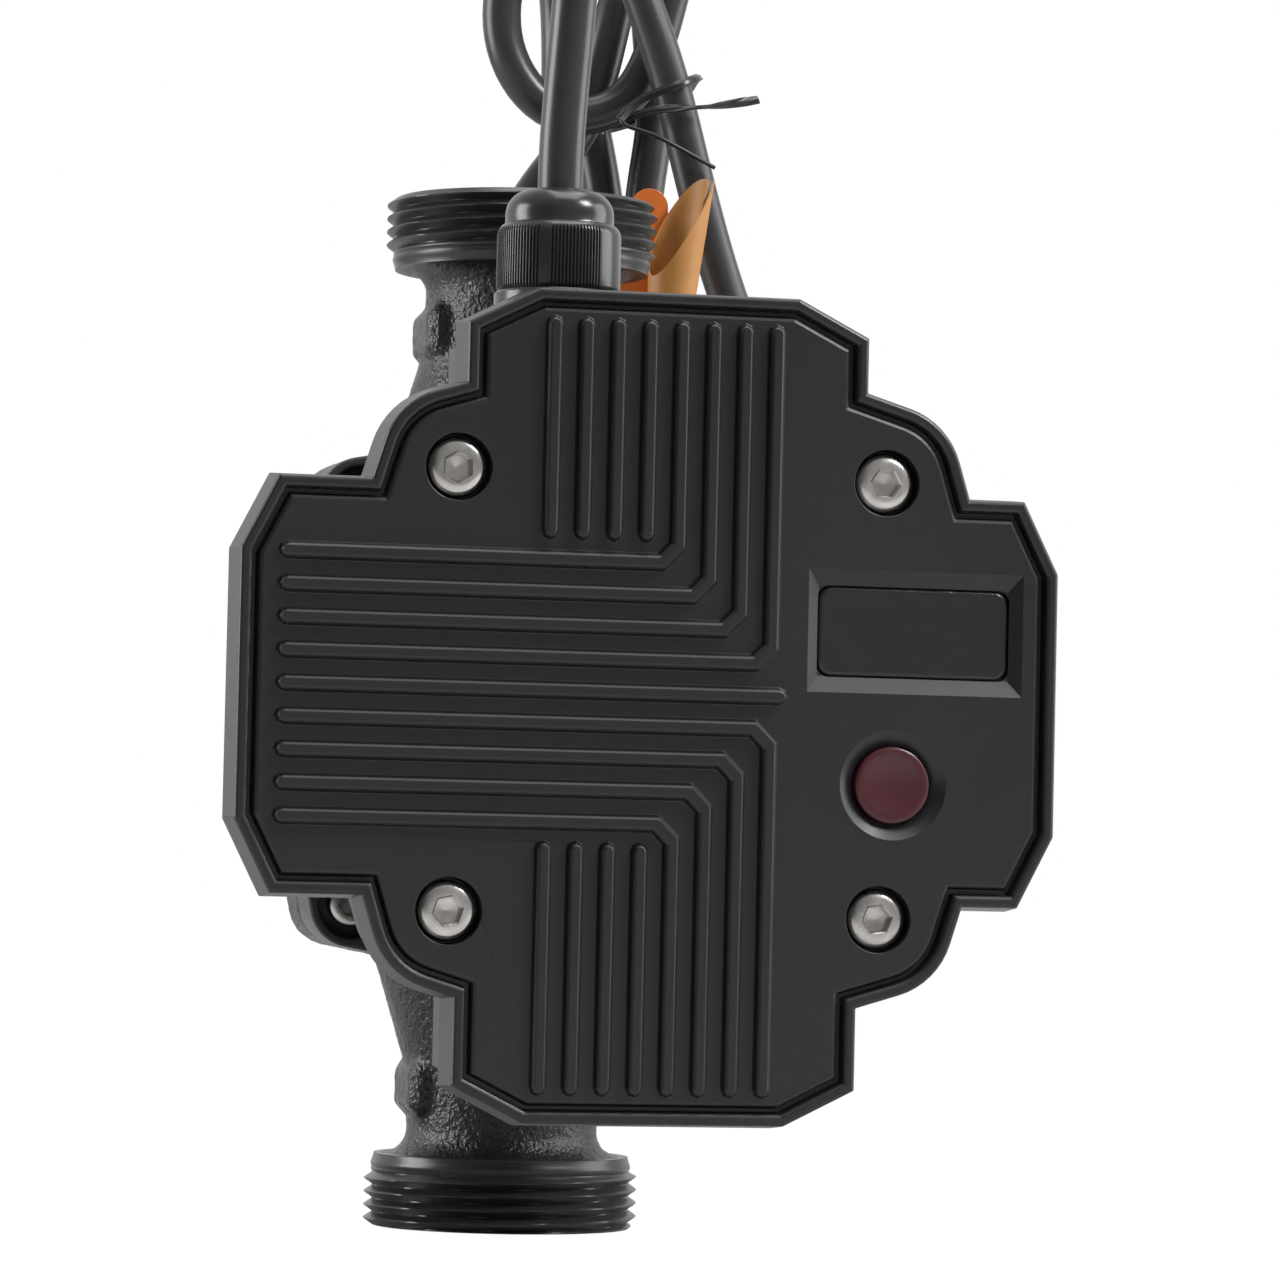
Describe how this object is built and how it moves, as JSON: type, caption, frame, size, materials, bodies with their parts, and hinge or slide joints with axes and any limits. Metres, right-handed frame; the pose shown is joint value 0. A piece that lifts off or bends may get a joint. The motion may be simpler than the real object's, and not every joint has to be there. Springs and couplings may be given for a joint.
{
  "type": "circulation_pump",
  "caption": "Wet-rotor circulation pump with threaded ports in line, a cast volute, a canned motor and a ribbed cross-shaped control box with display, button and cable",
  "frame": {"origin": "centre of the lower port's end face, on the port axis", "axes": "+Z runs along the port axis from the lower to the upper port; the motor axis is Y through z = 90 mm and the front cover faces -Y; +X is to the right seen from the front"},
  "size_m": [0.133, 0.2193, 0.2806],
  "materials": {
    "cast_iron": "black coated sand casting, threads machined",
    "stainless": "turned stainless",
    "impeller_plastic": "moulded, satin",
    "ceramic": "polished ceramic",
    "magnet_steel": "ferrite in a thin sleeve",
    "carbon": "carbon graphite",
    "seal_rubber": "black rubber",
    "laminations": "stacked sheet steel",
    "copper": "enamelled copper wire",
    "motor_black": "satin black coat on die-cast aluminium",
    "screw_steel": "bright stainless",
    "box_black": "satin black coat",
    "circuit_board": "green solder mask",
    "terminal_plastic": "moulded",
    "capacitor_sleeve": "shrink sleeve",
    "switch_black": "moulded",
    "window_dark": "clear gloss over a dark ground",
    "cover_black": "satin black powder coat on die-cast aluminium",
    "button_maroon": "satin dark red",
    "gland_black": "satin moulded nylon",
    "cable_black": "satin sheath",
    "tie_black": "plastic-clad wire",
    "tag_ochre": "matt paper-like film",
    "tag_orange": "glossy film",
    "plug_black": "satin moulded"
  },
  "bodies": {
    "pump": {"pump_housing": "cast_iron", "neck_ring": "stainless", "front_bearing": "carbon", "rear_bearing": "carbon", "bearing_plate": "stainless", "rotor_can": "stainless", "housing_o_ring": "seal_rubber", "stator_core": "laminations", "stator_coils": "copper", "motor_housing": "motor_black", "motor_screws": "screw_steel", "controller_back": "box_black", "control_pcb": "circuit_board", "pcb_screws": "screw_steel", "terminal_block": "terminal_plastic", "power_capacitor": "capacitor_sleeve", "tact_switch": "switch_black", "display_module": "switch_black", "display_window": "window_dark", "cover_seal": "seal_rubber", "front_cover": "cover_black", "cover_screws": "screw_steel", "gland_body": "gland_black", "gland_locknut": "gland_black", "gland_nut": "gland_black", "gland_seal": "seal_rubber", "cable_tail": "cable_black", "power_cable": "cable_black", "cable_hank": "cable_black", "cable_tie": "tie_black", "cable_tag": "tag_ochre", "tag_tab": "tag_orange", "mains_plug": "plug_black"},
    "rotor": {"impeller": "impeller_plastic", "rotor_shaft": "ceramic", "rotor_magnet": "magnet_steel", "thrust_ring": "carbon"},
    "button": {"power_button": "button_maroon"}
  },
  "joints": [
    {"name": "rotor_spin", "type": "hinge", "parent": "pump", "child": "rotor", "pos_m": [0, -0.05, 0.09], "axis": [0, -1, 0], "continuous": true},
    {"name": "button_press", "type": "slide", "parent": "pump", "child": "button", "axis": [0, 1, 0], "range_m": [0, 0.001], "stiffness_N_per_m": 800}
  ]
}
